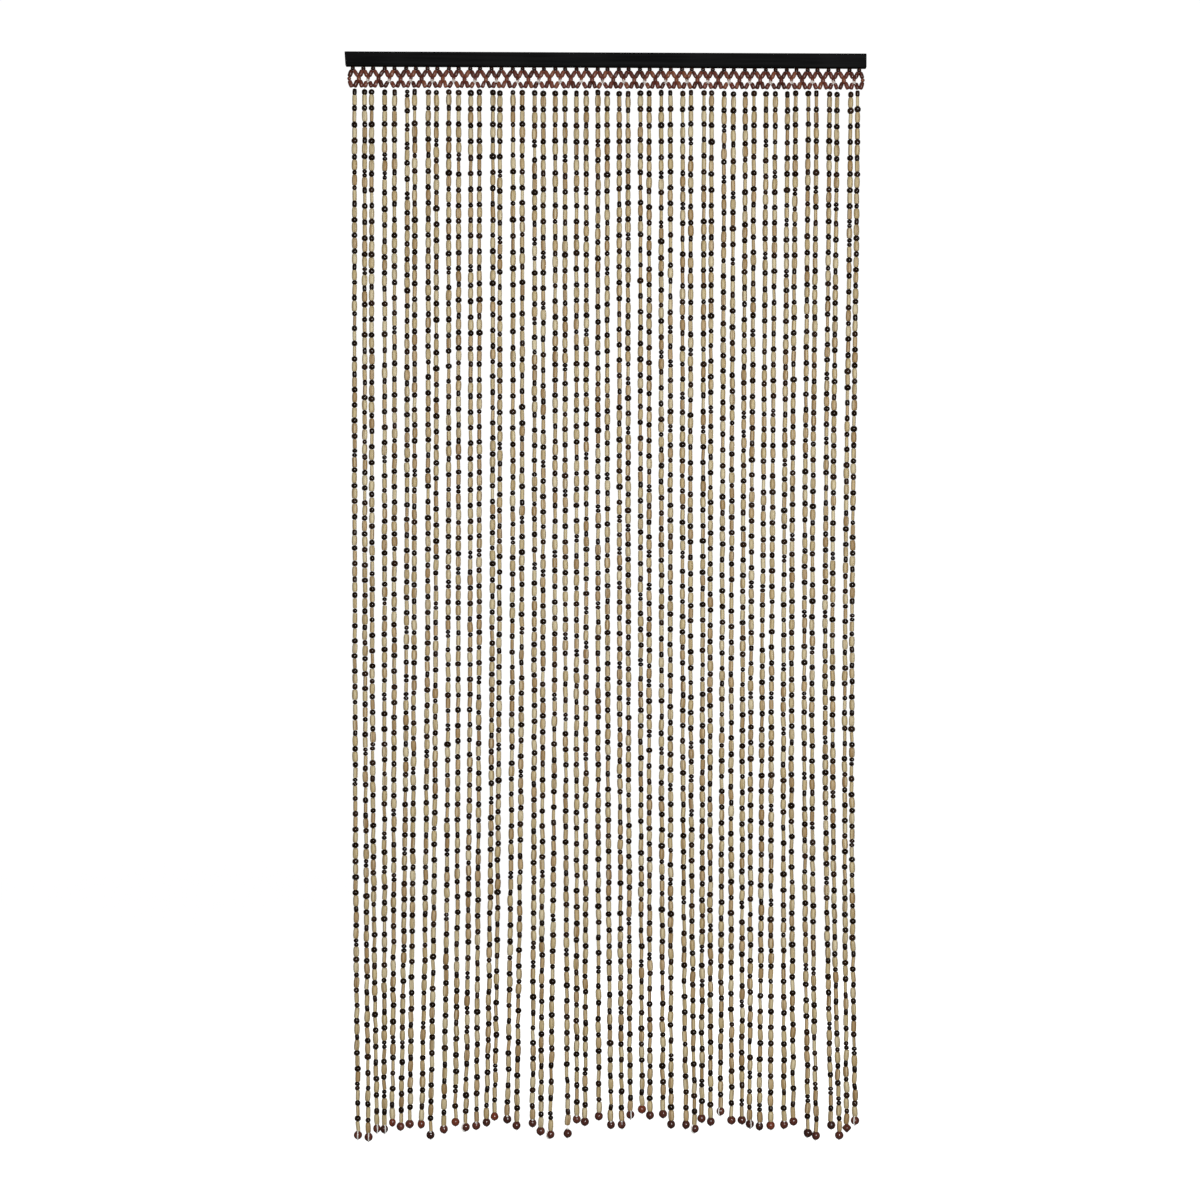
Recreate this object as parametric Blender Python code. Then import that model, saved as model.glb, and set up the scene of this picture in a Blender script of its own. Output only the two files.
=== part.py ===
"""A doorway bead curtain as it hangs: a painted wood batten, a net of small beads threaded
to its underside, and 49 strands of beads that hang from the points of the net.

Metres, +Z up. The viewer looks along +Y, and the wall or door frame lies at y = 0."""

import math

import bmesh
import bpy
from mathutils import Vector

MM = 0.001

# The batten. The origin is the middle of its back face.
BATTEN_LENGTH = 0.900
BATTEN_HEIGHT = 0.0245
BATTEN_DEPTH = 0.014
BATTEN_ROUNDING = 0.0012
SAW_SLANT = 0.0017  # the left end is sawn a little off square
THREAD_GAP = 0.0003  # between the batten's underside and the first beads

# Where the strands hang: one alone at the left end, then pairs across the batten.
SINGLE_X = -0.4330
FIRST_PAIR_X = -0.4094
PAIR_PITCH = 0.03647
DRILLING_STRAY = 0.0033  # the holes in the middle of the batten sit this far to the right

# The net. Heights are measured down from the underside of the batten.
TOP_BEAD_SPREAD = 0.0168  # between the two top beads of a pair
TOP_BEAD_WIDTH = 0.0058
TOP_BEAD_DROP = 0.0055
CROSSING_DROP = 0.0198
NET_DROP = 0.0350
NET_THICKNESS = 0.0046
LEG_HALF_SPAN = 0.0027  # half of a leg's width, measured level
LEG_HALF_RISE = 0.0044  # half of a leg's width, measured upright
EDGE_BULGE = 0.0062  # how far the net's first and last crossings stand out past their beads
ROOT_WIDTH = 0.0046
HEEL = 0.0045  # from the leg that carries the strand to the foot of the other leg
HEEL_LIFT = 0.0006  # the thread between the two feet rises a little

# The strands. They are bars as wide as their beads are on average.
THREAD_WIDTH = 0.0030
THREAD_DROP = 0.0390
SHOULDER_DROP = 0.0405
STRAND_WIDTH = 0.0080
BODY_RINGS = 15
END_BEAD_WIDTH = 0.0126
END_BEAD_NECK = 0.0050
END_BEAD_SHOULDER = 0.0036  # half the height of the end bead's widest part
LAST_TAPER = 0.0070  # the foot of the last piece, which narrows to the end bead's top

# How the strands stray from square to the batten. They hang plumb and the batten isn't quite
# level. The drift grows fast near the hem, where nothing holds it.
PLUMB_LEAN = 0.0042  # to the right, for each metre of drop
DRIFT_POWER = 3.5
BOW = -0.0100
BOW_FROM_X = 0.100
BOW_POWER = 1.3
FORWARD_LEAN = 0.0040  # the most that a strand's foot stands out in front of its hole
LEAN_STEP = 2.4  # makes neighbours lean by different amounts

# One row for each pair of strands, left to right, in millimetres.
PAIR_COLUMNS = ("spread", "drift", "hem_spread", "left_drop", "right_drop")
PAIR_ROWS = (
    (12, 8, 14, 1847, 1833),
    (17, -2, 14, 1833, 1822),
    (13, -10, 16, 1829, 1824),
    (14, -11, 16, 1825, 1843),
    (17, -7, 20, 1833, 1821),
    (15, -7, 18, 1829, 1827),
    (12, -10, 14, 1821, 1810),
    (16, -10, 16, 1816, 1826),
    (15, -4, 14, 1822, 1836),
    (17, -2, 30, 1841, 1840),
    (17, -1, 14, 1815, 1819),
    (16, 4, 21, 1810, 1824),
    (15, 4, 15, 1824, 1807),
    (15, 2, 14, 1797, 1808),
    (16, 2, 14, 1805, 1823),
    (14, 6, 15, 1824, 1830),
    (13, -3, 16, 1813, 1818),
    (16, -5, 19, 1800, 1816),
    (15, -7, 14, 1815, 1822),
    (16, -10, 19, 1826, 1824),
    (14, -5, 16, 1823, 1817),
    (14, -1, 14, 1837, 1842),
    (13, 3, 14, 1823, 1841),
    (12, -6, 14, 1828, 1815),
)
SINGLE_DRIFT = 0.0062
SINGLE_DROP = 1.844
SINGLE_TOP_SHIFT = -0.0030  # its top bead sits this far to the left of the strand

# Places that follow from the sizes above.
UNDERSIDE_Z = -BATTEN_HEIGHT / 2
STRAND_Y = -BATTEN_DEPTH / 2


def material(name, colour, roughness):
    """A plain finish: base colour and roughness, no metal."""
    made = bpy.data.materials.new(name)
    made.use_nodes = True
    shader = made.node_tree.nodes["Principled BSDF"]
    shader.inputs["Base Color"].default_value = (*colour, 1.0)
    shader.inputs["Roughness"].default_value = roughness
    shader.inputs["Metallic"].default_value = 0.0
    return made


def add_object(name, bm, *materials):
    """Links a finished bmesh to the scene as one object."""
    mesh = bpy.data.meshes.new(name)
    bm.to_mesh(mesh)
    bm.free()
    for finish in materials:
        mesh.materials.append(finish)
    made = bpy.data.objects.new(name, mesh)
    bpy.context.scene.collection.objects.link(made)
    return made


def strand_table():
    """Every strand as a dict: its places at the net, its drift at the hem, and its drop."""
    strands = [
        {
            "x": SINGLE_X,
            "heel_x": SINGLE_X - HEEL,
            "top_x": SINGLE_X + SINGLE_TOP_SHIFT,
            "drift": SINGLE_DRIFT,
            "drop": SINGLE_DROP,
        }
    ]
    for number, values in enumerate(PAIR_ROWS):
        row = {key: value * MM for key, value in zip(PAIR_COLUMNS, values)}
        share = number / (len(PAIR_ROWS) - 1)
        middle = FIRST_PAIR_X + PAIR_PITCH * number + DRILLING_STRAY * math.sin(math.pi * share)
        for side, drop in ((-0.5, row["left_drop"]), (0.5, row["right_drop"])):
            strands.append(
                {
                    "x": middle + side * row["spread"],
                    "heel_x": middle + side * (row["spread"] + 2 * HEEL),
                    "top_x": middle + side * TOP_BEAD_SPREAD,
                    "drift": row["drift"] + side * (row["hem_spread"] - row["spread"]),
                    "drop": drop,
                }
            )
    return strands


def strand_centre(strand, number, drop):
    """The middle of a strand at this depth below the batten."""
    share = (drop - NET_DROP) / (strand["drop"] - NET_DROP)
    reach = max(0.0, strand["x"] - BOW_FROM_X) / (BATTEN_LENGTH / 2 - BOW_FROM_X)
    bow = BOW * reach * math.sin(math.pi * share**BOW_POWER)
    lean_forward = FORWARD_LEAN * (1 + math.sin(LEAN_STEP * number)) / 2 * share**2
    lean_right = PLUMB_LEAN * (drop - NET_DROP)
    x = strand["x"] + lean_right + bow + strand["drift"] * share**DRIFT_POWER
    return Vector((x, STRAND_Y - lean_forward, UNDERSIDE_Z - drop))


def strand_rings(strand):
    """(drop, width) of each ring of a strand, from its thread down to the foot of its end bead."""
    bead_middle = strand["drop"]
    bead_top = bead_middle - END_BEAD_WIDTH / 2
    body_length = bead_top - LAST_TAPER - SHOULDER_DROP
    body = [
        (SHOULDER_DROP + body_length * step / BODY_RINGS, STRAND_WIDTH)
        for step in range(BODY_RINGS + 1)
    ]
    return [
        (THREAD_DROP, THREAD_WIDTH),
        *body,
        (bead_top, END_BEAD_NECK),
        (bead_middle - END_BEAD_SHOULDER, END_BEAD_WIDTH),
        (bead_middle + END_BEAD_SHOULDER, END_BEAD_WIDTH),
        (bead_middle + END_BEAD_WIDTH / 2, END_BEAD_NECK),
    ]


def crossing_places(strands):
    """The x of each crossing of the net: one at each edge, and one between any two strands."""
    inner = [
        (a["x"] + a["top_x"] + b["x"] + b["top_x"]) / 4 for a, b in zip(strands, strands[1:])
    ]
    return [strands[0]["top_x"] - EDGE_BULGE, *inner, strands[-1]["top_x"] + EDGE_BULGE]


def foot_corners(corner, strand):
    """The outline under a diamond: inner left, the three corners below, inner right."""
    x = strand["x"]
    heel_x = strand["heel_x"]
    outwards = math.copysign(ROOT_WIDTH / 2, heel_x - x)
    heel = corner(heel_x + outwards, NET_DROP - HEEL_LIFT)
    root_left = corner(x - ROOT_WIDTH / 2, NET_DROP)
    root_right = corner(x + ROOT_WIDTH / 2, NET_DROP)
    inner_left = corner(min(x, heel_x), NET_DROP - LEG_HALF_RISE)
    inner_right = corner(max(x, heel_x), NET_DROP - LEG_HALF_RISE)
    if heel_x < x:
        return inner_left, heel, root_left, root_right, inner_right
    return inner_left, root_left, root_right, heel, inner_right


def net_front(bm, strands):
    """Draws the net's front as flat faces that share their corners, so its gaps stay open."""
    front_y = STRAND_Y - NET_THICKNESS / 2

    def corner(x, drop):
        return bm.verts.new((x, front_y, UNDERSIDE_Z - drop))

    crossings = [
        {
            "top": corner(x, CROSSING_DROP - LEG_HALF_RISE),
            "left": corner(x - LEG_HALF_SPAN, CROSSING_DROP),
            "bottom": corner(x, CROSSING_DROP + LEG_HALF_RISE),
            "right": corner(x + LEG_HALF_SPAN, CROSSING_DROP),
        }
        for x in crossing_places(strands)
    ]
    for node in crossings:
        bm.faces.new((node["top"], node["left"], node["bottom"], node["right"]))
    for strand, before, after in zip(strands, crossings, crossings[1:]):
        top_x = strand["top_x"]
        half = TOP_BEAD_WIDTH / 2
        top_left = corner(top_x - half, THREAD_GAP)
        top_right = corner(top_x + half, THREAD_GAP)
        fork_left = corner(top_x - half, TOP_BEAD_DROP)
        fork_right = corner(top_x + half, TOP_BEAD_DROP)
        fork = corner(top_x, TOP_BEAD_DROP + LEG_HALF_RISE)
        foot = foot_corners(corner, strand)
        # The top bead, its two legs, the two legs below the crossings, and the foot they share.
        bm.faces.new((top_left, fork_left, fork_right, top_right))
        bm.faces.new((fork_left, fork, fork_right))
        bm.faces.new((fork_left, before["top"], before["right"], fork))
        bm.faces.new((fork, after["left"], after["top"], fork_right))
        bm.faces.new((before["right"], before["bottom"], foot[1], foot[0]))
        bm.faces.new((foot[4], foot[3], after["bottom"], after["left"]))
        bm.faces.new(foot)


def thicken(bm, depth):
    """Pushes a flat front back by this depth, which closes the shape."""
    front = list(bm.faces)
    back = bmesh.ops.extrude_face_region(bm, geom=front, use_keep_orig=True)["geom"]
    moved = [item for item in back if isinstance(item, bmesh.types.BMVert)]
    bmesh.ops.translate(bm, verts=moved, vec=(0.0, depth, 0.0))
    bmesh.ops.recalc_face_normals(bm, faces=bm.faces)


def root_faces(bm):
    """The small level faces under the net, left to right, that the strands grow from."""
    lowest = UNDERSIDE_Z - NET_DROP
    level = [
        face for face in bm.faces if all(abs(vert.co.z - lowest) < 0.1 * MM for vert in face.verts)
    ]
    return sorted(level, key=lambda face: face.calc_center_median().x)


def grow_strand(bm, root, strand, number):
    """Pulls one strand down out of its root, ring by ring. Returns the end bead's faces."""
    cap = root
    end_bead = []
    for drop, width in strand_rings(strand):
        middle = cap.calc_center_median()
        cap = bmesh.ops.extrude_discrete_faces(bm, faces=[cap])["faces"][0]
        place = strand_centre(strand, number, drop)
        for vert in cap.verts:
            side_x = math.copysign(width / 2, vert.co.x - middle.x)
            side_y = math.copysign(width / 2, vert.co.y - middle.y)
            vert.co = place + Vector((side_x, side_y, 0.0))
        if drop > strand["drop"] - END_BEAD_WIDTH / 2:
            end_bead += [face for edge in cap.edges for face in edge.link_faces]
    return end_bead


def build_batten():
    bm = bmesh.new()
    bmesh.ops.create_cube(bm, size=1.0)
    bmesh.ops.scale(bm, verts=bm.verts, vec=(BATTEN_LENGTH, BATTEN_DEPTH, BATTEN_HEIGHT))
    bmesh.ops.translate(bm, verts=bm.verts, vec=(0.0, -BATTEN_DEPTH / 2, 0.0))
    for vert in bm.verts:
        if vert.co.x < 0 and vert.co.z < 0:
            vert.co.x += SAW_SLANT
    bmesh.ops.bevel(
        bm,
        geom=bm.edges,
        offset=BATTEN_ROUNDING,
        offset_type="OFFSET",
        affect="EDGES",
        segments=2,
        profile=0.5,
        material=-1,
    )
    batten = add_object("batten", bm, material("black_paint", (0.008, 0.008, 0.009), 0.55))
    batten.data.shade_smooth()
    batten.data.set_sharp_from_angle(angle=math.radians(40))


def build_net_and_strands():
    strands = strand_table()
    bm = bmesh.new()
    net_front(bm, strands)
    thicken(bm, NET_THICKNESS)
    net = set(bm.faces)
    end_beads = set()
    for number, (root, strand) in enumerate(zip(root_faces(bm), strands)):
        net.discard(root)
        end_beads.update(grow_strand(bm, root, strand, number))
    bm.normal_update()
    for face in bm.faces:
        face.material_index = 0 if face in net or face in end_beads else 1
    add_object(
        "net_and_strands",
        bm,
        material("brown_wood", (0.118, 0.032, 0.022), 0.35),
        material("bamboo", (0.430, 0.310, 0.170), 0.6),
    )


def main():
    for old in list(bpy.data.objects):
        bpy.data.objects.remove(old, do_unlink=True)
    build_batten()
    build_net_and_strands()


main()
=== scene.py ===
# %% [markdown]
# # A doorway bead curtain
# A bead curtain is a wood batten with threads knotted into its underside. Small red-brown beads
# draw the threads out into a net, and from each foot of the net hangs a strand: black beads and
# bamboo pieces by turns, with one larger bead to weigh down its end. The frame holds the batten,
# which stays, and one plain solid for the net and the strands. This script gives the batten its
# paint, and hangs real beads and threads where the plain solid is.

# %% Load the frame
import math
import random

import bmesh
import bpy
from mathutils import Matrix, Vector


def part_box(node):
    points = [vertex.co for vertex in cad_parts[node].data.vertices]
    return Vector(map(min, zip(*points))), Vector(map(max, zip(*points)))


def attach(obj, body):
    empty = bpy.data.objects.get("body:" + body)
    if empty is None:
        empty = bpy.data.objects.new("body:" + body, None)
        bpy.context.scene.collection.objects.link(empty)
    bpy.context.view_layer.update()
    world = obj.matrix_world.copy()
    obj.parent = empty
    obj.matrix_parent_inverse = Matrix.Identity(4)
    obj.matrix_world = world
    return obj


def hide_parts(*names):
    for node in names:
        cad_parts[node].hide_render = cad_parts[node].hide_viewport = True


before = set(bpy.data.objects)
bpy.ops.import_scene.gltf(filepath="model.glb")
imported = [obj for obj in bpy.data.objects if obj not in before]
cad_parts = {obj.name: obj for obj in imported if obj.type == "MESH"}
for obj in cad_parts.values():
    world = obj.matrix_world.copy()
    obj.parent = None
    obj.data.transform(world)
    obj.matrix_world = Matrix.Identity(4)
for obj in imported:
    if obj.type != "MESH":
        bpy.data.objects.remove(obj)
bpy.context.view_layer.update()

MM = 0.001
BODY = "root"
HUNG_NODE = "net_and_strands"
print("nodes:", sorted(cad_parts))

# %% [markdown]
# ## Where everything hangs
# The beads could be placed from a second list of sizes, but then the two scripts could drift
# apart. The plain solid already knows every place. Its corners lie on level rings, so picking the
# corners at one height, sorting them from left to right and averaging them four at a time gives
# the middle of each bead, crossing or strand at that height.

# %% Read the places out of the plain solid
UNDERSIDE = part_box("batten")[0].z
TOP_BEADS_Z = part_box(HUNG_NODE)[1].z
CROSSINGS_DROP = 19.8 * MM
NET_DROP = 35.0 * MM
CROSSINGS_Z = UNDERSIDE - CROSSINGS_DROP
NET_FOOT_Z = UNDERSIDE - NET_DROP
SAME_PLACE = 0.02 * MM
CORNERS = 4  # of a ring of the plain solid


def welded(node):
    """The node's mesh with its loose triangles joined at their corners."""
    bm = bmesh.new()
    bm.from_mesh(node.data)
    bmesh.ops.remove_doubles(bm, verts=bm.verts, dist=SAME_PLACE)
    return bm


def middle(corners):
    return sum((corner.co for corner in corners), Vector()) / len(corners)


def by_fours(corners):
    return [middle(corners[at : at + CORNERS]) for at in range(0, len(corners), CORNERS)]


def middles_at(bm, height):
    """The middles of the solid's rings at this height, left to right."""
    level = [vert for vert in bm.verts if abs(vert.co.z - height) < SAME_PLACE]
    return by_fours(sorted(level, key=lambda vert: vert.co.x))


def strand_routes(bm):
    """Each strand as the middles of its rings, from the net's foot to the end bead's underside."""
    bm = bm.copy()
    above = [vert for vert in bm.verts if vert.co.z > NET_FOOT_Z + SAME_PLACE]
    bmesh.ops.delete(bm, geom=above, context="VERTS")
    routes = []
    for start in bm.verts:
        if start.tag:
            continue
        start.tag = True
        island = [start]
        for vert in island:
            for edge in vert.link_edges:
                other = edge.other_vert(vert)
                if not other.tag:
                    other.tag = True
                    island.append(other)
        routes.append(by_fours(sorted(island, key=lambda vert: -vert.co.z)))
    bm.free()
    return sorted(routes, key=lambda route: route[0].x)


plain = welded(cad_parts[HUNG_NODE])
top_beads = middles_at(plain, TOP_BEADS_Z)
crossings = middles_at(plain, CROSSINGS_Z)
routes = strand_routes(plain)
plain.free()
print(len(top_beads), "top beads,", len(crossings), "crossings,", len(routes), "strands")

# %% [markdown]
# ## One bead is turned once
# Thousands of beads need only a few shapes. A round bead could be a UV sphere, but a bead has flat
# ends round its hole, so each shape here is a short outline that is spun about the thread, as a
# wood turner would make it. The copies are stretched and turned a little, so that no two look
# alike. A repeated shape has eight sides: smooth shading hides the corners, and a few dozen faces
# are enough for a thing that is 9 mm across.

# %% The outlines and the spin
SKIN_MAP = "OFBake"  # the map that holds every bead's skin
HOLE_END = 0.14  # the share of a bead's length on the map that its flat end takes
REPEATED_SIDES = 8
ON_AXIS = 0.001  # corners of a spin that are closer than this are one


def turned(name, outline, sides, sharp_angle=50):
    """Spins an outline of (radius, height) about +Z. A bead is 2 high and 2 wide."""
    corners_out = 2 / (1 + math.cos(math.pi / sides))  # so that its mean width is 2
    bm = bmesh.new()
    along = bm.verts.layers.float.new("along")
    flat = [outline[0][1], outline[-1][1]]
    profile = [(0.0, flat[0]), *outline, (0.0, flat[1])]
    inner = len(outline) - 1
    marks = [0.0, *(HOLE_END + (1 - 2 * HOLE_END) * step / inner for step in range(inner + 1)), 1.0]
    previous = None
    for (radius, height), mark in zip(profile, marks):
        vert = bm.verts.new((radius * corners_out, 0.0, height))
        vert[along] = mark
        if previous:
            bm.edges.new((previous, vert))
        previous = vert
    bmesh.ops.spin(
        bm,
        geom=bm.verts[:] + bm.edges[:],
        axis=(0, 0, 1),
        cent=(0, 0, 0),
        angle=math.tau,
        steps=sides,
        use_merge=True,
    )
    bmesh.ops.remove_doubles(bm, verts=bm.verts, dist=ON_AXIS)
    bmesh.ops.recalc_face_normals(bm, faces=bm.faces)
    map_round(bm, along)
    return template(name, bm, sharp_angle)


def map_round(bm, along):
    """Lays the skin on the map: across is the way round the bead, up is the way along it."""
    uv = bm.loops.layers.uv.new(SKIN_MAP)
    for face in bm.faces:
        facing = face.calc_center_median()
        turn = math.atan2(facing.y, facing.x)
        for loop in face.loops:
            corner = loop.vert.co
            off = 0.0
            if corner.xy.length > ON_AXIS:
                off = math.remainder(math.atan2(corner.y, corner.x) - turn, math.tau)
            loop[uv].uv = ((turn % math.tau + off) / math.tau, loop.vert[along])


def template(name, bm, sharp_angle):
    """Keeps a finished bead shape as a mesh to copy from."""
    mesh = bpy.data.meshes.new(name)
    for face in bm.faces:
        face.smooth = True
    bm.to_mesh(mesh)
    bm.free()
    mesh.set_sharp_from_angle(angle=math.radians(sharp_angle))
    return mesh


BARREL = ((0.74, 1.0), (0.84, 0.95), (1.0, 0.42), (1.0, -0.42), (0.84, -0.95), (0.74, -1.0))
TUBE = ((0.84, 1.0), (0.95, 0.96), (1.0, 0.40), (1.0, -0.40), (0.95, -0.96), (0.84, -1.0))
ROUND = ((0.44, 1.0), (0.82, 0.72), (1.0, 0.25), (1.0, -0.25), (0.82, -0.72), (0.44, -1.0))
PEBBLE = ((0.45, 1.0), (0.82, 0.74), (1.0, 0.30), (1.0, -0.30), (0.82, -0.74), (0.45, -1.0))
KEG = ((0.66, 1.0), (0.88, 0.86), (1.0, 0.34), (1.0, -0.34), (0.88, -0.86), (0.66, -1.0))
RICE = ((0.56, 1.0), (0.86, 0.84), (1.0, 0.40), (1.0, -0.40), (0.86, -0.84), (0.56, -1.0))

shapes = {
    "bamboo barrel": turned("bamboo_barrel", BARREL, REPEATED_SIDES),
    "bamboo tube": turned("bamboo_tube", TUBE, REPEATED_SIDES),
    "round bead": turned("round_bead", ROUND, REPEATED_SIDES),
    "pebble bead": turned("pebble_bead", PEBBLE, REPEATED_SIDES),
    "keg bead": turned("keg_bead", KEG, REPEATED_SIDES),
    "rice bead": turned("rice_bead", RICE, REPEATED_SIDES),
}
for key, mesh in shapes.items():
    print(key, "has", len(mesh.polygons), "faces")

# %% [markdown]
# ## Many beads, one mesh
# Nearly 7,000 separate objects would be slow to draw and hard to hand on. So each kind of bead is
# laid, copy by copy, into one growing mesh. Every copy also gets a cell of its own on a square map
# of skins: the material reads the map and gives each cell another tint and another grain, which is
# how one material makes beads that all differ.

# %% Lay copies into a growing mesh
GRID = 8  # cells along one side of the map of skins
CELL_MARGIN = 0.03
FLATTEST = 0.95  # how deep a bead may be, as a share of its width


class Tray:
    """Collects copies of bead shapes and becomes one piece of the model."""

    def __init__(self, name, seed):
        self.name = name
        self.bm = bmesh.new()
        self.copy = bpy.data.meshes.new("copy")
        self.chance = random.Random(seed)
        self.count = 0

    def lay(self, mesh, upper, lower, width, turn=None, tone=None):
        """One copy, stretched between two points of its thread. The tone is a column of the map."""
        if turn is None:
            turn = self.chance.uniform(0, math.tau)
        bead = bmesh.new()
        bead.from_mesh(mesh)
        place = standing(upper, lower, width, turn, self.chance)
        bmesh.ops.transform(bead, matrix=place, verts=bead.verts)
        self.give_cell(bead, tone)
        bead.to_mesh(self.copy)
        bead.free()
        self.bm.from_mesh(self.copy)
        self.count += 1

    def give_cell(self, bead, tone):
        """Moves a bead's skin into a cell of the map. What isn't given is drawn by chance."""
        layer = bead.loops.layers.uv[SKIN_MAP]
        column = self.chance.randrange(GRID) if tone is None else tone
        row = self.chance.randrange(GRID)
        share = 1 - 2 * CELL_MARGIN
        for face in bead.faces:
            for loop in face.loops:
                u, v = loop[layer].uv
                across = column + CELL_MARGIN + share * u
                up = row + CELL_MARGIN + share * v
                loop[layer].uv = (across / GRID, up / GRID)

    def finish(self, material, slot):
        """Makes the piece and hangs it on the frame. The slot is not used."""
        mesh = bpy.data.meshes.new(self.name)
        self.bm.to_mesh(mesh)
        self.bm.free()
        bpy.data.meshes.remove(self.copy)
        piece = hang(self.name, mesh, material)
        print(self.name, "holds", self.count, "beads in", len(mesh.polygons), "faces")
        return piece


def standing(upper, lower, width, turn, chance):
    """The matrix that takes a shape 2 high and 2 wide to a bead between two points."""
    axis = upper - lower
    flatness = chance.uniform(FLATTEST, 1.0)
    stretch = Matrix.Diagonal((width / 2, width / 2 * flatness, axis.length / 2, 1))
    upright = axis.to_track_quat("Z", "Y").to_matrix().to_4x4()
    middle_point = (upper + lower) / 2
    return Matrix.Translation(middle_point) @ upright @ Matrix.Rotation(turn, 4, "Z") @ stretch


def hang(name, mesh, material):
    """Links a mesh as a piece that stands for the plain solid."""
    mesh.materials.append(material)
    piece = bpy.data.objects.new(name, mesh)
    bpy.context.scene.collection.objects.link(piece)
    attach(piece, BODY)
    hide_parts(HUNG_NODE)
    return piece


# %% [markdown]
# ## Shader maths in plain Python
# A material that gives each bead its own look needs a good deal of arithmetic, and node editors
# make that hard to read. This small class stands for one socket. Python's signs on it add Math
# nodes, so a mask can be written as it would be on paper. All other nodes come from one method.


# %% A socket that can be calculated with
class Wire:
    """One output of a node, with + - * / as Math nodes."""

    def __init__(self, finish, socket):
        self.finish = finish
        self.socket = socket

    def math(self, operation, *values):
        made = self.finish.node("ShaderNodeMath", {"operation": operation}, dict(enumerate(values)))
        return made[0]

    def __add__(self, other):
        return self.math("ADD", self, other)

    def __radd__(self, other):
        return self.math("ADD", other, self)

    def __sub__(self, other):
        return self.math("SUBTRACT", self, other)

    def __rsub__(self, other):
        return self.math("SUBTRACT", other, self)

    def __mul__(self, other):
        return self.math("MULTIPLY", self, other)

    def __rmul__(self, other):
        return self.math("MULTIPLY", other, self)

    def __truediv__(self, other):
        return self.math("DIVIDE", self, other)


class Outputs:
    """The outputs of a node, read by name or number."""

    def __init__(self, finish, made):
        self.finish = finish
        self.made = made

    def __getitem__(self, key):
        return Wire(self.finish, self.made.outputs[key])


class Finish:
    """A material in the making. Constants go straight onto the shader's sockets."""

    def __init__(self, name, constants):
        self.material = bpy.data.materials.new(name)
        self.material.use_nodes = True
        self.tree = self.material.node_tree
        self.shader = self.tree.nodes["Principled BSDF"]
        for socket, value in constants.items():
            self.shader.inputs[socket].default_value = value

    def node(self, kind, settings, sockets):
        """Any node: its type, its settings, then the values or links of its sockets."""
        made = self.tree.nodes.new(kind)
        for key, value in settings.items():
            if key == "stops":
                self.set_stops(made.color_ramp, value)
            else:
                setattr(made, key, value)
        for key, value in sockets.items():
            self.feed(made.inputs[key], value)
        return Outputs(self, made)

    def set_stops(self, ramp, stops):
        while len(ramp.elements) < len(stops):
            ramp.elements.new(1.0)
        for element, (position, colour) in zip(ramp.elements, stops):
            element.position = position
            element.color = (*colour, 1.0)

    def feed(self, socket, value):
        if isinstance(value, Wire):
            self.tree.links.new(value.socket, socket)
        else:
            socket.default_value = value

    def set(self, name, value):
        self.feed(self.shader.inputs[name], value)

    def noise(self, vector, scale, detail, seed=0.0, roughness=0.5):
        """Smooth noise from 0 to 1. Another seed gives another pattern."""
        sockets = {"Vector": vector, "W": seed, "Scale": scale, "Detail": detail}
        sockets["Roughness"] = roughness
        return self.node("ShaderNodeTexNoise", {"noise_dimensions": "4D"}, sockets)["Fac"]

    def ramp(self, value, stops):
        return self.node("ShaderNodeValToRGB", {"stops": stops}, {"Fac": value})["Color"]

    def mix(self, share, first, second, blend="MIX"):
        """Mixes two colours."""
        settings = {"data_type": "RGBA", "blend_type": blend}
        return self.node("ShaderNodeMix", settings, {0: share, 6: first, 7: second})[2]

    def step(self, value, low, high):
        """0 below low, 1 above high, and a smooth slope between them."""
        settings = {"interpolation_type": "SMOOTHSTEP"}
        sockets = {"Value": value, "From Min": low, "From Max": high}
        return self.node("ShaderNodeMapRange", settings, sockets)["Result"]

    def vector(self, x, y, z):
        return self.node("ShaderNodeCombineXYZ", {}, {"X": x, "Y": y, "Z": z})["Vector"]

    def bump(self, height, distance, strength=1.0):
        sockets = {"Height": height, "Distance": distance, "Strength": strength}
        self.set("Normal", self.node("ShaderNodeBump", {}, sockets)["Normal"])


# %% [markdown]
# ## Reading the map of skins
# The map tells each point of a bead which cell it wears, how far round the bead it is and how far
# along. The cell's column is the bead's tone, from the first to the last of its ramp, and the cell
# as a whole gives random values for its grain and gloss. The way round is turned into a point on
# a circle, because noise that is read on a circle meets itself again where the skin closes.


# %% What every bead material starts from
SEED_SPAN = 90.0  # seeds this far apart read quite different noise


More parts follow.
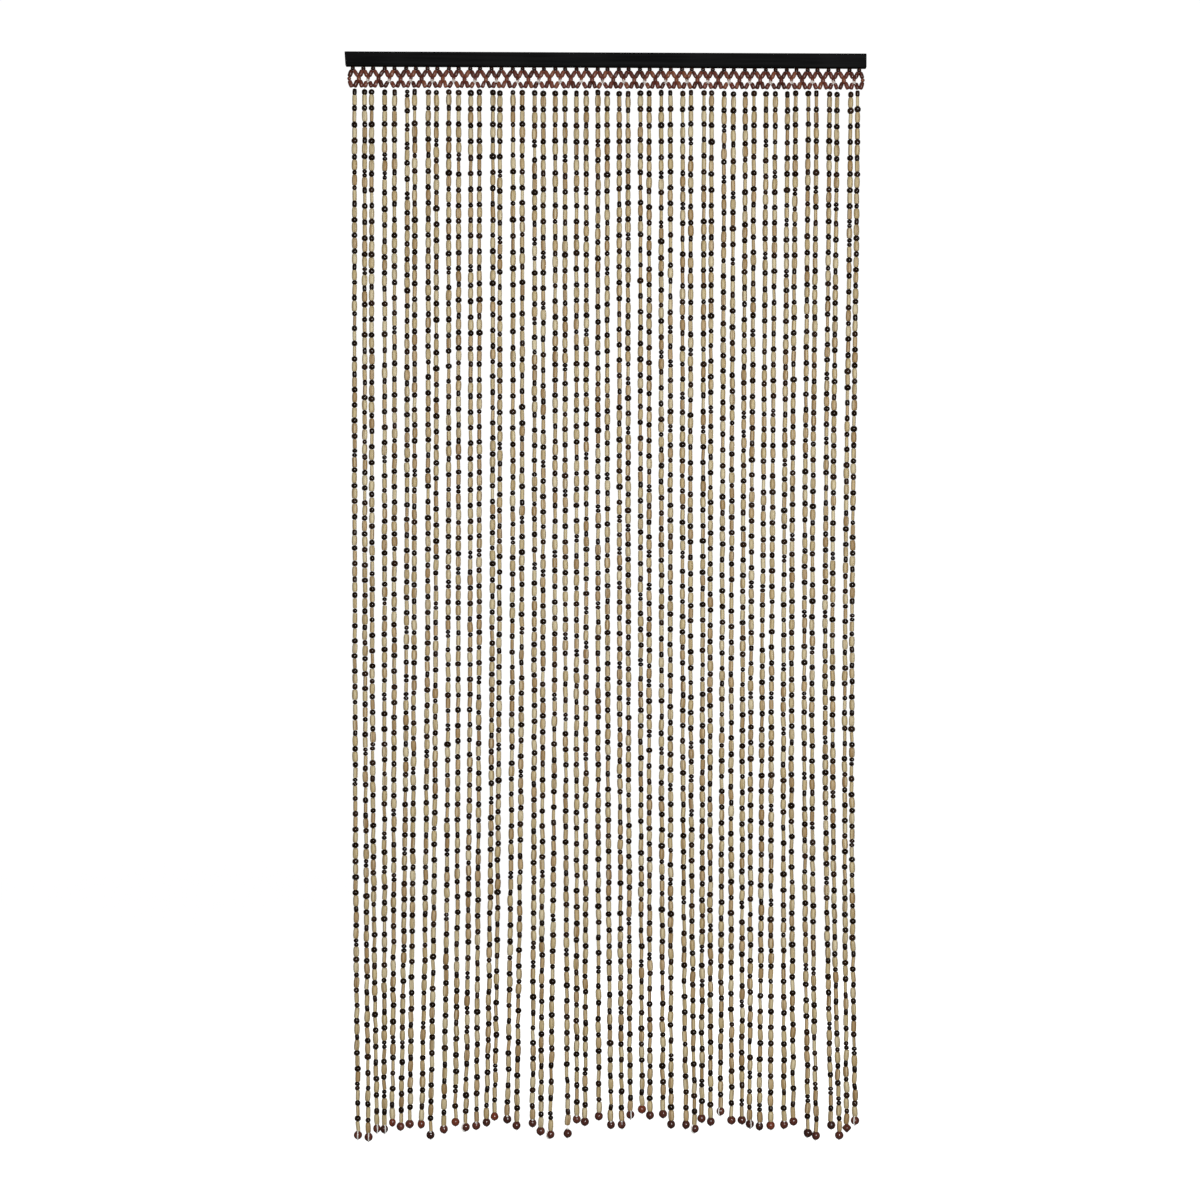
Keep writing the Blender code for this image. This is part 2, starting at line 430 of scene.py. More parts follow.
class Skin(Finish):
    """A finish that knows the cell, the way round and the way along of a bead."""

    def __init__(self, name, constants):
        super().__init__(name, constants)
        place = self.node("ShaderNodeUVMap", {"uv_map": SKIN_MAP}, {})["UV"]
        parts = self.node("ShaderNodeSeparateXYZ", {}, {"Vector": place})
        column, across = self.split(parts["X"])
        row, self.along = self.split(parts["Y"])
        cell = self.vector(column, row, 0.0)
        dice = self.node("ShaderNodeTexWhiteNoise", {"noise_dimensions": "3D"}, {"Vector": cell})
        rolled = self.node("ShaderNodeSeparateColor", {}, {"Color": dice["Color"]})
        self.tint = column / (GRID - 1.0)
        self.seed = rolled["Green"] * SEED_SPAN
        self.mood = rolled["Blue"]
        angle = across * math.tau
        self.east = angle.math("COSINE", angle)
        self.north = angle.math("SINE", angle)
        self.end = self.ends()

    def split(self, value):
        """A cell's number, and the place inside it from 0 to 1."""
        scaled = value * float(GRID)
        number = scaled.math("FLOOR", scaled)
        inside = (scaled - number - CELL_MARGIN) / (1 - 2 * CELL_MARGIN)
        return number, inside

    def ends(self):
        """0 in the middle of the bead, 1 at the hole of either end."""
        off = self.along - 0.5
        return off.math("ABSOLUTE", off) * 2.0

    def grain(self, scale, stretch, detail, shift=0.0):
        """Noise that runs along the bead. A small stretch gives long fibres."""
        place = self.vector(self.east, self.north, self.along * stretch)
        return self.noise(place, scale, detail, self.seed + shift)


# %% [markdown]
# ## Bamboo
# The pieces are cut from thin canes and tumbled, so their skin is silky, straw to tan, with fibres
# that run straight from end to end. One side is often browner than the other. A wood texture with
# rings would be wrong: bamboo has none. Noise stretched along the piece gives the fibres, slower
# noise the browner stripes, and a ramp over the cell's random value the tone of the whole piece.

# %% The bamboo's skin
STRAW_TONES = (
    (0.00, (0.60, 0.505, 0.307)),
    (0.30, (0.53, 0.425, 0.223)),
    (0.60, (0.485, 0.372, 0.181)),
    (0.85, (0.47, 0.33, 0.163)),
    (1.00, (0.355, 0.228, 0.093)),
)


def bamboo_finish():
    skin = Skin("bamboo", {"IOR": 1.45})
    tone = skin.ramp(skin.tint, STRAW_TONES)
    stripes = skin.step(skin.grain(1.9, 0.22, 1.0), 0.48, 0.58)
    brown = skin.mix(0.75, tone, (0.25, 0.145, 0.06, 1))
    colour = skin.mix(stripes * (0.30 + 0.65 * skin.mood), tone, brown)
    pale = skin.step(skin.grain(1.6, 0.25, 1.0, 31.0), 0.52, 0.66)
    colour = skin.mix(pale * 0.55, colour, (0.68, 0.59, 0.39, 1))
    fibres = skin.grain(7.0, 0.20, 3.0, 7.0)
    shade = 0.65 + 0.55 * fibres
    colour = skin.mix(1.0, colour, skin.vector(shade, shade, shade), "MULTIPLY")
    flecks = skin.step(skin.grain(16.0, 0.9, 2.0, 53.0), 0.66, 0.74)
    colour = skin.mix(flecks * 0.45, colour, (0.20, 0.115, 0.05, 1))
    rim = skin.step(skin.end, 0.64, 0.74)
    colour = skin.mix(rim * 0.35, colour, (0.30, 0.19, 0.09, 1))
    # Painted shade: the hole at each end is coloured dark, as its inside is in shade.
    hole_shade = skin.step(skin.end, 0.90, 0.94)
    colour = skin.mix(hole_shade, colour, (0.03, 0.018, 0.01, 1))
    skin.set("Base Color", colour)
    skin.set("Roughness", 0.40 + 0.22 * fibres + 0.15 * rim)
    skin.bump(fibres - 0.6 * flecks, 0.10 * MM)
    return skin.material


bamboo = bamboo_finish()
print("bamboo has", len(bamboo.node_tree.nodes), "nodes")

# %% [markdown]
# ## Black lacquer
# The black beads are turned wood under glossy lacquer. Real black is never zero: here it leans to
# brown, a few beads are browner than the rest, and the wood's pores leave faint dull marks that
# the gloss shows up. The hole is coloured nearly black, as painted shade. Not every bead is
# polished: the clear coat over the paint comes and goes from bead to bead, so some show a bright
# spot and others don't. The keg-shaped beads shine least, and get the same skin in satin.


# %% The black beads' skin
BLACK = (0.0085, 0.0035, 0.0012, 1)
DARK_BROWN = (0.030, 0.013, 0.006, 1)
LACQUER = {"IOR": 1.5, "Specular IOR Level": 0.24, "Coat Roughness": 0.05, "Coat IOR": 1.5}
SATIN = {"IOR": 1.5, "Specular IOR Level": 0.22, "Coat Roughness": 0.15, "Coat IOR": 1.5}


def black_finish(name, constants, roughness, gloss):
    skin = Skin(name, constants)
    brownness = skin.step(skin.tint, 0.60, 1.0)
    colour = skin.mix(brownness * 0.7, BLACK, DARK_BROWN)
    pores = skin.grain(9.0, 0.5, 3.0)
    worn = skin.step(pores, 0.60, 0.75)
    colour = skin.mix(worn * 0.30, colour, (0.040, 0.024, 0.015, 1))
    # Painted shade: the hole is coloured nearly black, as its inside is in shade.
    hole_shade = skin.step(skin.end, 0.90, 0.94)
    colour = skin.mix(hole_shade, colour, (0.002, 0.0015, 0.001, 1))
    skin.set("Base Color", colour)
    skin.set("Roughness", roughness + 0.10 * skin.mood + 0.18 * worn)
    skin.set("Coat Weight", gloss * skin.step(skin.mood, 0.40, 0.95))
    skin.bump(pores, 0.05 * MM)
    return skin.material


black = black_finish("black_lacquer", LACQUER, roughness=0.16, gloss=0.6)
black_satin = black_finish("black_satin", SATIN, roughness=0.24, gloss=0.2)
print("black lacquer has", len(black.node_tree.nodes), "nodes")

# %% [markdown]
# ## Red-brown stain
# The net's beads and the end beads are the same wood in a clear red-brown stain, from orange-red
# to a dark mahogany. The net's beads are small and long, so their grain is finer. One function
# makes both: only the tones and the size of the grain are given to it.

# %% The stained beads' skins
NET_TONES = (
    # The first tone is painted shade, for the top beads under the batten.
    (0.00, (0.018, 0.008, 0.006)),
    (0.15, (0.060, 0.018, 0.012)),
    (0.45, (0.095, 0.027, 0.019)),
    (0.80, (0.140, 0.040, 0.027)),
    (1.00, (0.190, 0.064, 0.034)),
)
END_TONES = (
    (0.00, (0.035, 0.012, 0.009)),
    (0.30, (0.070, 0.021, 0.015)),
    (0.70, (0.105, 0.030, 0.020)),
    (1.00, (0.160, 0.036, 0.018)),
)


def stained_finish(name, tones, grain_scale, gloss):
    skin = Skin(name, {"IOR": 1.6, "Specular IOR Level": gloss})
    tone = skin.ramp(skin.tint, tones)
    lines = skin.grain(grain_scale, 0.45, 3.0)
    dark = skin.step(lines, 0.50, 0.66)
    colour = skin.mix(dark * 0.55, tone, (0.030, 0.009, 0.006, 1))
    pale = skin.step(skin.grain(grain_scale * 0.5, 0.4, 2.0, 17.0), 0.55, 0.75)
    colour = skin.mix(pale * 0.35, colour, (0.27, 0.105, 0.065, 1))
    # Painted shade: the hole at each end is coloured dark, as its inside is in shade.
    hole_shade = skin.step(skin.end, 0.88, 0.93)
    colour = skin.mix(hole_shade, colour, (0.012, 0.005, 0.003, 1))
    skin.set("Base Color", colour)
    skin.set("Roughness", 0.12 + 0.12 * skin.mood + 0.12 * dark)
    skin.bump(lines, 0.06 * MM)
    return skin.material


net_stain = stained_finish("net_stain", NET_TONES, 5.0, gloss=0.2)
end_stain = stained_finish("end_stain", END_TONES, 3.5, gloss=0.4)
print("stains:", net_stain.name, end_stain.name)

# %% [markdown]
# ## Thread
# White nylon twine, two plies twisted together. It is about a millimetre thick, so the twist is a
# wave across the thread and no geometry. The twine runs in every direction here, and the wave is
# read on the object's own coordinates, slanted, so that it crosses every stretch of it. The net's
# knots and their tails are greyer and a little pink.


# %% The thread's finish
def thread_finish(name, clean, shaded, soiled):
    finish = Finish(name, {"IOR": 1.5, "Sheen Weight": 0.3})
    place = finish.node("ShaderNodeTexCoord", {}, {})["Object"]
    settings = {"wave_type": "BANDS", "bands_direction": "DIAGONAL"}
    sockets = {"Vector": place, "Scale": 700.0, "Distortion": 2.0, "Detail": 1.0}
    twist = finish.node("ShaderNodeTexWave", settings, sockets)["Fac"]
    soil = finish.noise(place, 60.0, 2.0)
    colour = finish.mix(twist * 0.35, clean, shaded)
    colour = finish.mix(finish.step(soil, 0.45, 0.75) * 0.4, colour, soiled)
    finish.set("Base Color", colour)
    finish.set("Roughness", 0.55 + 0.2 * soil)
    finish.bump(twist, 0.08 * MM)
    return finish.material


twine = thread_finish(
    "white_twine",
    clean=(0.90, 0.88, 0.84, 1),
    shaded=(0.68, 0.65, 0.59, 1),
    soiled=(0.62, 0.56, 0.46, 1),
)
# Greyer and a little pink: the net's knots and their tails.
greyed_twine = thread_finish(
    "greyed_twine",
    clean=(0.66, 0.59, 0.54, 1),
    shaded=(0.44, 0.37, 0.33, 1),
    soiled=(0.34, 0.22, 0.18, 1),
)
print("twine has", len(twine.node_tree.nodes), "nodes")

# %% [markdown]
# ## Dark thread
# At the feet of the net a few millimetres of thread lie between the two legs. They are nearly
# black. The finish is as plain as the stretch is short: the same twist, in two dark browns.

# %% The dark thread's finish
def heel_finish():
    finish = Finish("dark_twine", {"IOR": 1.5})
    place = finish.node("ShaderNodeTexCoord", {}, {})["Object"]
    settings = {"wave_type": "BANDS", "bands_direction": "DIAGONAL"}
    twist = finish.node("ShaderNodeTexWave", settings, {"Vector": place, "Scale": 500.0})["Fac"]
    finish.set("Base Color", finish.mix(twist, (0.022, 0.008, 0.006, 1), (0.055, 0.019, 0.014, 1)))
    finish.set("Roughness", 0.45 + 0.2 * twist)
    finish.bump(twist, 0.08 * MM)
    return finish.material


# Nearly black thread for the stretches between the net's feet.
heel_dark = heel_finish()
print("stained thread:", heel_dark.name)

# %% [markdown]
# ## The batten's paint
# The batten is planed wood under one coat of matte black. The coat is thin, so the wood's grain
# still shows as long low ridges. The top and bottom edges are painted darker, as painted shade,
# and in a few spots there the paint has rubbed off to the wood. Object coordinates are stretched
# along the batten to draw the grain. The edges are found by how far a point is from the batten's
# middle, up and down, so no extra geometry is needed for the edge shade and the wear.

# %% The batten's finish
BATTEN_LOW, BATTEN_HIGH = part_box("batten")
HALF_HEIGHT = (BATTEN_HIGH.z - BATTEN_LOW.z) / 2
GRAIN_STRETCH = (6.0, 220.0, 220.0)
PAINT = (0.0022, 0.0022, 0.0024, 1)
PAINT_ON_RIDGES = (0.0074, 0.0074, 0.0077, 1)
PAINT_IN_PATCHES = (0.011, 0.011, 0.0115, 1)
SHADE_AT_EDGES = (0.0012, 0.0012, 0.0013, 1)
RUBBED_WOOD = (0.030, 0.026, 0.022, 1)


def paint_finish():
    finish = Finish("matte_black_paint", {"IOR": 1.4, "Specular IOR Level": 0.08})
    place = finish.node("ShaderNodeTexCoord", {}, {})["Object"]
    sockets = {"Vector": place, "Scale": GRAIN_STRETCH}
    mapped = finish.node("ShaderNodeMapping", {}, sockets)["Vector"]
    grain = finish.noise(mapped, 1.0, 4.0, roughness=0.6)
    cloud = finish.noise(place, 9.0, 2.0, 4.0)
    colour = finish.mix(finish.step(grain, 0.35, 0.70), PAINT, PAINT_ON_RIDGES)
    colour = finish.mix(finish.step(cloud, 0.40, 0.75) * 0.5, colour, PAINT_IN_PATCHES)
    height = finish.node("ShaderNodeSeparateXYZ", {}, {"Vector": place})["Z"]
    off = height.math("ABSOLUTE", height) / HALF_HEIGHT
    # Painted shade: the top and bottom edges are coloured darker.
    edge_shade = finish.step(off, 0.86, 0.97)
    colour = finish.mix(edge_shade * 0.6, colour, SHADE_AT_EDGES)
    rubbed = finish.step(off + 0.22 * grain, 1.10, 1.16)
    colour = finish.mix(rubbed * 0.5, colour, RUBBED_WOOD)
    finish.set("Base Color", colour)
    finish.set("Roughness", 0.70 + 0.16 * grain)
    finish.bump(grain, 0.12 * MM)
    return finish.material


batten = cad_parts["batten"]
batten.material_slots[0].material = paint_finish()
print("the batten is painted")

# %% [markdown]
# ## The beads of one strand
# A strand is threaded by hand, so no two are the same: the bamboo varies in length and width, and
# the black beads are mostly round, with pebbles, short tubes, and now and then two small ones in
# place of a large one. What stays the same is the order, black above bamboo, and the length of a
# pair. So each strand draws its beads at random, and then its bamboo is shortened or lengthened a
# little, as if better-fitting pieces had been picked, until the last one meets the end bead.

# %% Draw the beads of a strand
PAIR_LENGTH = 27.45 * MM
BEAD_GAP = 0.35 * MM
END_GROWTH = 0.035  # pairs are this much longer at both ends of a strand than halfway

BLACK_KINDS = (
    # share, shape, width from and to, height from and to, all in millimetres
    (0.04, "round bead", 11.0, 12.0, 9.8, 10.6),
    (0.47, "round bead", 9.5, 10.9, 8.9, 9.8),
    (0.11, "round bead", 8.0, 9.1, 7.7, 8.6),
    (0.17, "pebble bead", 8.7, 10.1, 9.4, 10.7),
    (0.14, "keg bead", 7.4, 8.8, 9.2, 10.6),
    (0.07, "two round beads", 8.0, 9.1, 6.6, 7.4),
)
BAMBOO_KINDS = (
    (0.58, "bamboo barrel", 8.7, 9.9, 17.4, 19.0),
    (0.26, "bamboo tube", 7.3, 8.6, 17.0, 18.6),
    (0.16, "bamboo tube", 5.6, 6.9, 16.4, 18.0),
)


def pick(kinds, chance):
    """One kind by its share: its shape, width and height."""
    rolled = chance.random()
    for share, shape, thin, wide, low, high in kinds:
        rolled -= share
        if rolled < 0:
            break
    return shape, chance.uniform(thin, wide) * MM, chance.uniform(low, high) * MM


def draw_beads(length, chance):
    """The beads that fill this length, from the top: [shape, width, height]."""
    beads = []
    pairs = round(length / PAIR_LENGTH)
    for pair in range(pairs):
        off_middle = 2 * pair / (pairs - 1) - 1
        growth = 1 + END_GROWTH * (off_middle**2 - 1 / 3)
        shape, width, height = pick(BLACK_KINDS, chance)
        if shape == "two round beads":
            beads.append(["round bead", width, height])
            shape = "round bead"
        beads.append([shape, width, height * growth])
        shape, width, height = pick(BAMBOO_KINDS, chance)
        beads.append([shape, width, height * growth])
    filled = sum(bead[2] + BEAD_GAP for bead in beads)
    canes = [bead for bead in beads if bead[0].startswith("bamboo")]
    stretch = 1 + (length - filled) / sum(cane[2] for cane in canes)
    for cane in canes:
        cane[2] *= stretch
    return beads


print("a strand of 1.8 m takes", len(draw_beads(1.8, random.Random(1))), "beads")

# %% [markdown]
# ## A thread that isn't quite straight
# Beads are rigid and the thread between them is not, so a hanging strand is a chain of short
# straight stretches with small kinks. Each joint between two beads is therefore moved aside by a
# little, more near the hem, where less weight pulls the thread straight, and each bead is laid
# from joint to joint. A bead can then never leave its thread.

# %% The route of a strand
KINK_TOP = 0.22 * MM
KINK_HEM = 0.65 * MM
STRAND_SEED = 1000


class Strand:
    """One strand of the plain solid, as a path that can be asked for its place at any height."""

    def __init__(self, route, number):
        self.number = number
        self.route = route
        self.foot = route[0]
        self.first_bead_z = route[1].z
        self.last_bead_z = route[-4].z
        self.end_bead = (route[-3] + route[-2]) / 2

    def at(self, height):
        for above, below in zip(self.route, self.route[1:]):
            if height >= below.z:
                break
        share = (above.z - height) / (above.z - below.z)
        return above.lerp(below, share)

    def share_down(self, height):
        """0 at the net's foot, 1 at the end bead."""
        return (self.foot.z - height) / (self.foot.z - self.last_bead_z)

    def joint(self, height, chance):
        """The thread's place at this height, with the kink of a joint."""
        size = KINK_TOP + (KINK_HEM - KINK_TOP) * self.share_down(height) ** 2
        side = Vector((chance.gauss(0, size), chance.gauss(0, size), 0))
        limit = 2 * size
        side.x = max(-limit, min(limit, side.x))
        side.y = max(-limit, min(limit, side.y))
        return self.at(height) + side


strands = [Strand(route, number) for number, route in enumerate(routes, start=1)]
print("the longest strand is", round(max(s.foot.z - s.end_bead.z for s in strands), 3), "m")

# %% [markdown]
# ## Hang the strands
# The beads go into seven meshes: bamboo and black, each for the left, middle and right third of
# the curtain, and the black kegs. That keeps every mesh small enough to work with. The joints are
# kept as well, because the thread has to pass through the same points.

# %% Thread every strand
PARTS = ("left", "middle", "right")
LOW_HANGING = {21: 8.0 * MM}  # this end bead hangs on a stretch of bare thread
HIGHEST_START = 0.5 * MM  # the first bead sits a little higher or lower on its thread
LOWEST_START = -2.0 * MM
HEM_SWELL = 0.04  # the beads at the hem are this much wider than those at the top

bamboo_trays = [Tray(f"bamboo_{part}", 100 + i) for i, part in enumerate(PARTS)]
black_trays = [Tray(f"black_beads_{part}", 200 + i) for i, part in enumerate(PARTS)]
keg_tray = Tray("black_kegs", 250)
thread_runs = []


def tray_for(shape, third):
    """Which mesh a bead of this shape is laid in."""
    if shape == "keg bead":
        return keg_tray
    return bamboo_trays[third] if shape.startswith("bamboo") else black_trays[third]


def thread_strand(strand, third):
    """Lays the beads of one strand and returns the points that its thread passes."""
    chance = random.Random(STRAND_SEED + strand.number)
    bottom = strand.last_bead_z + LOW_HANGING.get(strand.number, 0.0)
    height = strand.first_bead_z + chance.uniform(LOWEST_START, HIGHEST_START)
    upper = strand.joint(height, chance)
    points = [strand.foot, upper]
    for shape, width, length in draw_beads(height - bottom, chance):
        height -= length + BEAD_GAP
        lower = strand.joint(height, chance)
        gap = (upper - lower).normalized() * BEAD_GAP
        swell = 1 + HEM_SWELL * strand.share_down(height) ** 2
        tray_for(shape, third).lay(shapes[shape], upper, lower + gap, width * swell)
        points.append(lower)
        upper = lower
    return points


for strand in strands:
    third = min(len(PARTS) - 1, (strand.number - 1) * len(PARTS) // len(strands))
    thread_runs.append(thread_strand(strand, third))
for tray in bamboo_trays:
    tray.finish(bamboo, "bamboo")
for tray in black_trays:
    tray.finish(black, "black_bead")
keg_tray.finish(black_satin, "black_bead")

# %% [markdown]
# ## The end beads
# Each strand ends in a bead about 15 mm across. There are only 49 of them and they are the
# largest, so the round ones get sixteen sides. Two are odd ones: one is drawn out to a drop, and
# one is a blunt double cone, which looks like a square that stands on its corner. The thread
# comes out below, turns back up round the outside of the bead and is knotted above it. On some
# beads it lies in front, as a white line, and on the others it lies behind, so each has the turn
# at which its thread is seen.

# %% Turn and hang the end beads
END_WIDTH = 14.8 * MM
END_SPREAD = (0.95, 1.03)
END_SIDES = 16
BALL_ANGLES = [math.radians(angle) for angle in range(14, 181, 19)]  # from the hole's rim down
BALL = [(math.sin(angle), math.cos(angle)) for angle in BALL_ANGLES]
DROP = (
    (0.22, 1.12),
    (0.42, 0.78),
    (0.78, 0.34),
    (0.98, -0.10),
    (0.96, -0.46),
    (0.66, -0.84),
    (0.24, -1.0),
)
CONE_SIDES = 8
CONE = (
    (0.20, 1.0),
    (0.38, 0.84),
    (0.88, 0.30),
    (1.0, 0.0),
    (0.88, -0.30),
    (0.38, -0.84),
    (0.20, -1.0),
)
DROP_STRANDS = (15,)
DROP_SHARE = 0.94
DROP_RISE = Vector((0, 0, 1.4 * MM))
CONE_STRANDS = (48,)
CONE_STRETCH = 1.02
CONE_TONE = 4
SLIM_STRANDS = {3: 0.92, 4: 0.92, 5: 0.80, 8: 0.88, 14: 0.93}  # shares of END_WIDTH
ORANGE_STRANDS = (5, 8, 11, 15, 28, 41)
DARK_STRANDS = (9, 40, 44, 46)

ball = turned("end_ball", BALL, END_SIDES)
drop_shape = turned("end_drop", DROP, END_SIDES)
cone_shape = turned("end_cone", CONE, CONE_SIDES)


def end_tone(number, chance):
    """The column of an end bead's tone: most are mahogany, some orange-red, a few nearly black."""
    if number in ORANGE_STRANDS:
        return GRID - 1
    if number in DARK_STRANDS:
        return 0
    return chance.randrange(1, GRID - 2)


def lay_end_bead(strand, tray):
    half = Vector((0, 0, END_WIDTH / 2))
    upper, lower = strand.end_bead + half, strand.end_bead - half
    tone = end_tone(strand.number, tray.chance)
    if strand.number in CONE_STRANDS:
        tray.lay(cone_shape, upper, lower, END_WIDTH * CONE_STRETCH, 0.0, CONE_TONE)
    elif strand.number in DROP_STRANDS:
        tray.lay(drop_shape, upper + DROP_RISE, lower, END_WIDTH * DROP_SHARE, tone=tone)
    else:
        share = SLIM_STRANDS.get(strand.number, tray.chance.uniform(*END_SPREAD))
        tray.lay(ball, upper, lower, END_WIDTH * share, tone=tone)


end_tray = Tray("end_beads", 300)
for strand in strands:
    lay_end_bead(strand, end_tray)
end_tray.finish(end_stain, "brown_bead")

# %% [markdown]
# ## The net
# The net is one row of diamonds. Under each top bead two long beads lead down and apart to the
# crossings, and two more lead back together to the foot that carries the strand. The crossings
# come by turns: at one all four threads pass through a single upright bead, and at the next they
# are knotted below a smaller bead, and the white knot shows. At the two side edges the thread just
# turns round a small bead. The lower legs don't meet in a point: their ends lie side by side, and
# a short stretch of thread joins them.

# %% Thread the net
TOP_BEAD = (7.6 * MM, 6.0 * MM)  # width, height
LEG_WIDTH = 7.5 * MM
LEG_SPREAD = (0.94, 1.06)
# The top beads take the stain's darkest tone, as painted shade under the batten.
TOP_BEAD_SHADE_TONE = 0
CROSSING_TONES = (3, 5, 6, 7)
FORK_ASIDE = 1.8 * MM  # how far a leg begins to the side of the top bead's thread
HEEL = 4.6 * MM
FOOT_DROP = Vector((0, 0, -1.3 * MM))
HEEL_LIFT = Vector((0, 0, 0.2 * MM))
ABOVE_CROSSING = 1.8 * MM  # the upper legs end this far above it
CROSSING_STRAY = 0.7 * MM
CROSSING_KINDS = {
    # shape, width, height and drop of its bead, how far aside the legs end and begin, and how far
    # down they begin, all in millimetres
    "edge": ("round bead", 6.8, 5.8, 1.2, 0.0, 0.3, 4.2),
    "bead": ("pebble bead", 7.4, 9.6, 1.7, 1.5, 2.5, 4.6),
    "knot": ("round bead", 6.4, 6.2, 0.3, 1.7, 2.8, 6.0),
}
KNOT_PLACE = Vector((0, -2.0, -4.8)) * MM

net_tray = Tray("net_beads", 400)
net_runs = []
heel_runs = []
knots = []


def lay_leg(start, end):
    """A long bead on a stretch of thread."""
    width = LEG_WIDTH * net_tray.chance.uniform(*LEG_SPREAD)
    net_tray.lay(shapes["rice bead"], start, end, width, tone=net_tray.chance.randrange(1, GRID))
    net_runs.append([start, end])


def lay_upright(shape, place, size, tone=None):
    """A bead whose hole runs up and down, by its middle, width and height."""
    width, height = size
    half = Vector((0, 0, height / 2))
    net_tray.lay(shapes[shape], place + half, place - half, width, tone=tone)


def heel_side(number):
    """-1 where the other leg's foot is to the left of the strand, or 1 to its right."""
    return -1 if number == 1 or number % 2 == 0 else 1


def crossing_kind(number):
    if number in (0, len(crossings) - 1):
        return "edge"
    return "bead" if number % 2 else "knot"


def lay_crossing(number, place):
    """Lays a crossing's bead. Gives the ends of its upper legs and the starts of its lower ones."""
    place = place + Vector((0, 0, net_tray.chance.uniform(-CROSSING_STRAY, CROSSING_STRAY)))
    kind = crossing_kind(number)
    shape, width, height, drop, end_aside, begin_aside, begin_drop = CROSSING_KINDS[kind]
    tone = net_tray.chance.choice(CROSSING_TONES)
    lay_upright(shape, place - Vector((0, 0, drop * MM)), (width * MM, height * MM), tone)
    if kind == "knot":
        knots.append(place + KNOT_PLACE)
    ends = [place + Vector((side * end_aside * MM, 0, ABOVE_CROSSING)) for side in (-1, 1)]
    begins = [place + Vector((side * begin_aside, 0, -begin_drop)) * MM for side in (-1, 1)]
    return ends, begins


met = [lay_crossing(number, place) for number, place in enumerate(crossings)]
for strand, top, before, after in zip(strands, top_beads, met, met[1:]):
    bead_middle = top - Vector((0, 0, TOP_BEAD[1] / 2))
    lay_upright("pebble bead", bead_middle, TOP_BEAD, TOP_BEAD_SHADE_TONE)
    fork = top - Vector((0, 0, TOP_BEAD[1]))
    aside = Vector((FORK_ASIDE, 0, 0))
    heel = strand.foot + Vector((HEEL * heel_side(strand.number), 0, 0))
    left_foot, right_foot = sorted((strand.foot, heel), key=lambda place: place.x)
    left_ends, left_begins = before
    right_ends, right_begins = after
    lay_leg(fork - aside, left_ends[1])
    lay_leg(fork + aside, right_ends[0])
    lay_leg(left_begins[1], left_foot + FOOT_DROP)
    lay_leg(right_begins[0], right_foot + FOOT_DROP)
    heel_runs.append([left_foot + HEEL_LIFT, right_foot + HEEL_LIFT])
net_tray.finish(net_stain, "brown_bead")

# %% [markdown]
# ## Threads, loops and knots
# A thread is a line with a thickness. A poly curve with a round bevel draws just that from a list
# of points, and is then turned into a mesh. The knots are a trefoil, the simplest real knot, whose
# three sines give a lump that looks tied from every side. In the net it has two short tails.

# %% Draw the threads
THREAD_WIDTH = 1.0 * MM
KNOT_THREAD_WIDTH = 1.4 * MM  # two threads are tied as one
HEEL_WIDTH = 2.2 * MM
LOOP_WIDTH = 2.1 * MM
LOOP_STEPS = 12
KNOT_SIZE = 2.2 * MM
END_KNOT_SIZE = 1.1 * MM
FRONT_KNOT_LEAN = 38  # degrees from straight up to the front
BACK_KNOT_LEAN = -25
KNOT_STEPS = 20
TAIL_LENGTH = 5.0 * MM
TAIL_WIDTH = 0.8 * MM
LOOP_SEED = 2000
KNOT_SEED = 3000
LOOP_OUT = 0.25  # the loop's middle is this share of its width off the bead
BACK_TURNS = (120, 240)  # degrees
KNOT_DEPTH = 1.4

FRONT_LOOPS = {
    # strand: how far its loop is turned from straight in front, in degrees
    1: 0,
    2: 4,
    3: 12,
    4: 22,
    12: -52,
    20: -55,
    27: 10,
    33: -50,
    36: -28,
    39: 14,
    49: -20,
}
FRONT_KNOTS = (9, 10, 13, 16, 18, 22, 25, 26, 40, 42)  # end beads with their knot in front


def draw_threads(name, runs, width, closed=False, material=twine):
    """One mesh for many runs of thread of the same width."""
    curve = bpy.data.curves.new(name, "CURVE")
    curve.dimensions = "3D"
    curve.bevel_depth = width / 2
    curve.bevel_resolution = 1
    curve.use_fill_caps = not closed
    for run in runs:
        spline = curve.splines.new("POLY")
        spline.points.add(len(run) - 1)
        for point, place in zip(spline.points, run):
            point.co = (*place, 1.0)
        spline.use_cyclic_u = closed
        spline.use_smooth = True
    drawn = bpy.data.objects.new(name, curve)
    mesh = bpy.data.meshes.new_from_object(drawn)
    bpy.data.objects.remove(drawn)
    bpy.data.curves.remove(curve)
    mesh.name = name
    print(name, "has", len(runs), "runs of thread and", len(mesh.polygons), "faces")
    return hang(name, mesh, material)


def loop_round(strand):
    """The thread that leaves the end bead below and comes back up round its outside."""
    chance = random.Random(LOOP_SEED + strand.number)
    turn = math.radians(FRONT_LOOPS.get(strand.number, chance.uniform(*BACK_TURNS)))
    outwards = Vector((math.sin(turn), -math.cos(turn), 0))
    reach = END_WIDTH / 2 + LOOP_WIDTH * LOOP_OUT
    points = []
    for step in range(LOOP_STEPS + 1):
        angle = math.pi * step / LOOP_STEPS
        up = Vector((0, 0, math.cos(angle) * reach))
        points.append(strand.end_bead + up + outwards * math.sin(angle) * reach)
    return points


def knot_points(place, turn, size):
    """A trefoil knot round this place."""
    points = []
    for step in range(KNOT_STEPS):
        angle = math.tau * step / KNOT_STEPS
        x = math.sin(angle) + 2 * math.sin(2 * angle)
        z = math.cos(angle) - 2 * math.cos(2 * angle)
        lump = Vector((x, -KNOT_DEPTH * math.sin(3 * angle), z)) * size / 2
        points.append(place + Matrix.Rotation(turn, 3, "Y") @ lump)
    return points


